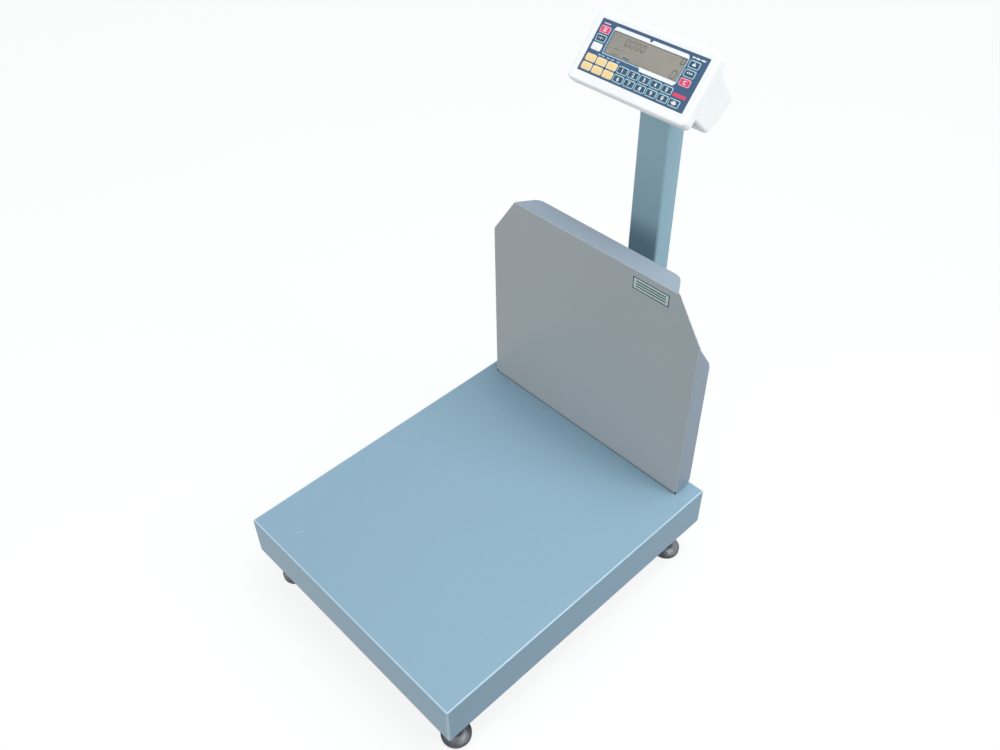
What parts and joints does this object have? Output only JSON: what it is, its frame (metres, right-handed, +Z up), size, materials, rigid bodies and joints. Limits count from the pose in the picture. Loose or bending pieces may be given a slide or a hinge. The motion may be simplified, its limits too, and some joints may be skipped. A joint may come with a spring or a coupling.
{
  "type": "counting scale",
  "caption": "Bench-style floor scale with a steel weighing platform, upright backrest and a column that carries a tilted keypad indicator with a wide display.",
  "frame": {"origin": "on the floor, under the middle of the scale's bounding box", "axes": "+Z up; -Y is the front, where the user stands; +X to the user's right"},
  "size_m": [0.5, 0.735, 0.8864],
  "materials": {
    "platform_paint": "satin powder coat, light blue-grey",
    "backrest_paint": "satin powder coat, grey",
    "frame_steel": "dull grey primer",
    "zinc_steel": "zinc plated, satin",
    "cell_aluminium": "milled, anodised",
    "housing_plastic": "fine texture, white",
    "overlay_blue": "printed film, dark blue",
    "key_yellow": "printed film, pale yellow",
    "key_red": "printed film, red",
    "key_white": "printed film, white",
    "display_glass": "clear window over a grey-brown display",
    "lcd_black": "black frame",
    "board_green": "green solder mask",
    "battery_sleeve": "dark blue sleeve",
    "gland_black": "black nylon"
  },
  "bodies": {
    "base": {"base_frame": "frame_steel", "lower_spacer": "frame_steel", "load_cell": "cell_aluminium", "overload_stop_1": "zinc_steel", "overload_stop_2": "zinc_steel", "overload_stop_3": "zinc_steel", "overload_stop_4": "zinc_steel", "lock_nut_1": "zinc_steel", "lock_nut_2": "zinc_steel", "lock_nut_3": "zinc_steel", "lock_nut_4": "zinc_steel", "column": "platform_paint", "column_bolt_1": "zinc_steel", "column_bolt_2": "zinc_steel", "head_bracket": "frame_steel", "front_shell": "housing_plastic", "rear_shell": "housing_plastic", "keypad_overlay": "overlay_blue", "display_window": "display_glass", "lcd_module": "lcd_black", "main_board": "board_green", "battery": "battery_sleeve", "cable_gland": "gland_black"},
    "platform": {"platform_cover": "platform_paint", "backrest_panel": "backrest_paint", "backrest_bolt_1": "zinc_steel", "backrest_bolt_2": "zinc_steel", "top_frame": "frame_steel", "upper_spacer": "frame_steel"},
    "foot_pad_1": {"foot_pad_1": "zinc_steel"},
    "foot_stud_1": {"foot_stud_1": "zinc_steel"},
    "foot_pad_2": {"foot_pad_2": "zinc_steel"},
    "foot_stud_2": {"foot_stud_2": "zinc_steel"},
    "foot_pad_3": {"foot_pad_3": "zinc_steel"},
    "foot_stud_3": {"foot_stud_3": "zinc_steel"},
    "foot_pad_4": {"foot_pad_4": "zinc_steel"},
    "foot_stud_4": {"foot_stud_4": "zinc_steel"},
    "key_preset_1": {"key_preset_1": "key_yellow"},
    "key_preset_2": {"key_preset_2": "key_yellow"},
    "key_preset_3": {"key_preset_3": "key_yellow"},
    "key_preset_4": {"key_preset_4": "key_yellow"},
    "key_preset_5": {"key_preset_5": "key_yellow"},
    "key_preset_6": {"key_preset_6": "key_yellow"},
    "key_0": {"key_0": "overlay_blue"},
    "key_1": {"key_1": "overlay_blue"},
    "key_2": {"key_2": "overlay_blue"},
    "key_3": {"key_3": "overlay_blue"},
    "key_4": {"key_4": "overlay_blue"},
    "key_5": {"key_5": "overlay_blue"},
    "key_6": {"key_6": "overlay_blue"},
    "key_7": {"key_7": "overlay_blue"},
    "key_8": {"key_8": "overlay_blue"},
    "key_9": {"key_9": "overlay_blue"},
    "key_power": {"key_power": "key_red"},
    "key_tare": {"key_tare": "overlay_blue"},
    "key_zero": {"key_zero": "key_white"},
    "key_weight": {"key_weight": "overlay_blue"},
    "key_sample": {"key_sample": "overlay_blue"},
    "key_clear": {"key_clear": "key_red"},
    "key_print": {"key_print": "overlay_blue"}
  },
  "joints": [
    {"name": "platform_weigh", "type": "slide", "parent": "base", "child": "platform", "axis": [0, 0, -1], "range_m": [0, 0.0008], "stiffness_N_per_m": 2450000, "springref_m": -0.0001, "deforming": ["load_cell"]},
    {"name": "foot_1_height", "type": "slide", "parent": "base", "child": "foot_pad_1", "axis": [0, 0, -1], "range_m": [0, 0.015]},
    {"name": "foot_1_turn", "type": "hinge", "parent": "foot_pad_1", "child": "foot_stud_1", "pos_m": [0.216, -0.3275, 0.05], "axis": [0, 0, -1], "range_deg": [-30, 3120]},
    {"name": "foot_2_height", "type": "slide", "parent": "base", "child": "foot_pad_2", "axis": [0, 0, -1], "range_m": [0, 0.015]},
    {"name": "foot_2_turn", "type": "hinge", "parent": "foot_pad_2", "child": "foot_stud_2", "pos_m": [0.216, 0.1925, 0.05], "axis": [0, 0, -1], "range_deg": [-30, 3120]},
    {"name": "foot_3_height", "type": "slide", "parent": "base", "child": "foot_pad_3", "axis": [0, 0, -1], "range_m": [0, 0.015]},
    {"name": "foot_3_turn", "type": "hinge", "parent": "foot_pad_3", "child": "foot_stud_3", "pos_m": [-0.216, 0.1925, 0.05], "axis": [0, 0, -1], "range_deg": [-30, 3120]},
    {"name": "foot_4_height", "type": "slide", "parent": "base", "child": "foot_pad_4", "axis": [0, 0, -1], "range_m": [0, 0.015]},
    {"name": "foot_4_turn", "type": "hinge", "parent": "foot_pad_4", "child": "foot_stud_4", "pos_m": [-0.216, -0.3275, 0.05], "axis": [0, 0, -1], "range_deg": [-30, 3120]},
    {"name": "key_preset_1_press", "type": "slide", "parent": "base", "child": "key_preset_1", "axis": [0, 0.749, -0.6626], "range_m": [0, 0.0004], "stiffness_N_per_m": 4000, "springref_m": -0.0002},
    {"name": "key_preset_2_press", "type": "slide", "parent": "base", "child": "key_preset_2", "axis": [0, 0.749, -0.6626], "range_m": [0, 0.0004], "stiffness_N_per_m": 4000, "springref_m": -0.0002},
    {"name": "key_preset_3_press", "type": "slide", "parent": "base", "child": "key_preset_3", "axis": [0, 0.749, -0.6626], "range_m": [0, 0.0004], "stiffness_N_per_m": 4000, "springref_m": -0.0002},
    {"name": "key_preset_4_press", "type": "slide", "parent": "base", "child": "key_preset_4", "axis": [0, 0.749, -0.6626], "range_m": [0, 0.0004], "stiffness_N_per_m": 4000, "springref_m": -0.0002},
    {"name": "key_preset_5_press", "type": "slide", "parent": "base", "child": "key_preset_5", "axis": [0, 0.749, -0.6626], "range_m": [0, 0.0004], "stiffness_N_per_m": 4000, "springref_m": -0.0002},
    {"name": "key_preset_6_press", "type": "slide", "parent": "base", "child": "key_preset_6", "axis": [0, 0.749, -0.6626], "range_m": [0, 0.0004], "stiffness_N_per_m": 4000, "springref_m": -0.0002},
    {"name": "key_0_press", "type": "slide", "parent": "base", "child": "key_0", "axis": [0, 0.749, -0.6626], "range_m": [0, 0.0004], "stiffness_N_per_m": 4000, "springref_m": -0.0002},
    {"name": "key_1_press", "type": "slide", "parent": "base", "child": "key_1", "axis": [0, 0.749, -0.6626], "range_m": [0, 0.0004], "stiffness_N_per_m": 4000, "springref_m": -0.0002},
    {"name": "key_2_press", "type": "slide", "parent": "base", "child": "key_2", "axis": [0, 0.749, -0.6626], "range_m": [0, 0.0004], "stiffness_N_per_m": 4000, "springref_m": -0.0002},
    {"name": "key_3_press", "type": "slide", "parent": "base", "child": "key_3", "axis": [0, 0.749, -0.6626], "range_m": [0, 0.0004], "stiffness_N_per_m": 4000, "springref_m": -0.0002},
    {"name": "key_4_press", "type": "slide", "parent": "base", "child": "key_4", "axis": [0, 0.749, -0.6626], "range_m": [0, 0.0004], "stiffness_N_per_m": 4000, "springref_m": -0.0002},
    {"name": "key_5_press", "type": "slide", "parent": "base", "child": "key_5", "axis": [0, 0.749, -0.6626], "range_m": [0, 0.0004], "stiffness_N_per_m": 4000, "springref_m": -0.0002},
    {"name": "key_6_press", "type": "slide", "parent": "base", "child": "key_6", "axis": [0, 0.749, -0.6626], "range_m": [0, 0.0004], "stiffness_N_per_m": 4000, "springref_m": -0.0002},
    {"name": "key_7_press", "type": "slide", "parent": "base", "child": "key_7", "axis": [0, 0.749, -0.6626], "range_m": [0, 0.0004], "stiffness_N_per_m": 4000, "springref_m": -0.0002},
    {"name": "key_8_press", "type": "slide", "parent": "base", "child": "key_8", "axis": [0, 0.749, -0.6626], "range_m": [0, 0.0004], "stiffness_N_per_m": 4000, "springref_m": -0.0002},
    {"name": "key_9_press", "type": "slide", "parent": "base", "child": "key_9", "axis": [0, 0.749, -0.6626], "range_m": [0, 0.0004], "stiffness_N_per_m": 4000, "springref_m": -0.0002},
    {"name": "key_power_press", "type": "slide", "parent": "base", "child": "key_power", "axis": [0, 0.749, -0.6626], "range_m": [0, 0.0004], "stiffness_N_per_m": 4000, "springref_m": -0.0002},
    {"name": "key_tare_press", "type": "slide", "parent": "base", "child": "key_tare", "axis": [0, 0.749, -0.6626], "range_m": [0, 0.0004], "stiffness_N_per_m": 4000, "springref_m": -0.0002},
    {"name": "key_zero_press", "type": "slide", "parent": "base", "child": "key_zero", "axis": [0, 0.749, -0.6626], "range_m": [0, 0.0004], "stiffness_N_per_m": 4000, "springref_m": -0.0002},
    {"name": "key_weight_press", "type": "slide", "parent": "base", "child": "key_weight", "axis": [0, 0.749, -0.6626], "range_m": [0, 0.0004], "stiffness_N_per_m": 4000, "springref_m": -0.0002},
    {"name": "key_sample_press", "type": "slide", "parent": "base", "child": "key_sample", "axis": [0, 0.749, -0.6626], "range_m": [0, 0.0004], "stiffness_N_per_m": 4000, "springref_m": -0.0002},
    {"name": "key_clear_press", "type": "slide", "parent": "base", "child": "key_clear", "axis": [0, 0.749, -0.6626], "range_m": [0, 0.0004], "stiffness_N_per_m": 4000, "springref_m": -0.0002},
    {"name": "key_print_press", "type": "slide", "parent": "base", "child": "key_print", "axis": [0, 0.749, -0.6626], "range_m": [0, 0.0004], "stiffness_N_per_m": 4000, "springref_m": -0.0002}
  ],
  "couplings": [
    {"joint": "foot_1_turn", "follows": "foot_1_height", "rad_per_m": 3590.4},
    {"joint": "foot_2_turn", "follows": "foot_2_height", "rad_per_m": 3590.4},
    {"joint": "foot_3_turn", "follows": "foot_3_height", "rad_per_m": 3590.4},
    {"joint": "foot_4_turn", "follows": "foot_4_height", "rad_per_m": 3590.4}
  ]
}
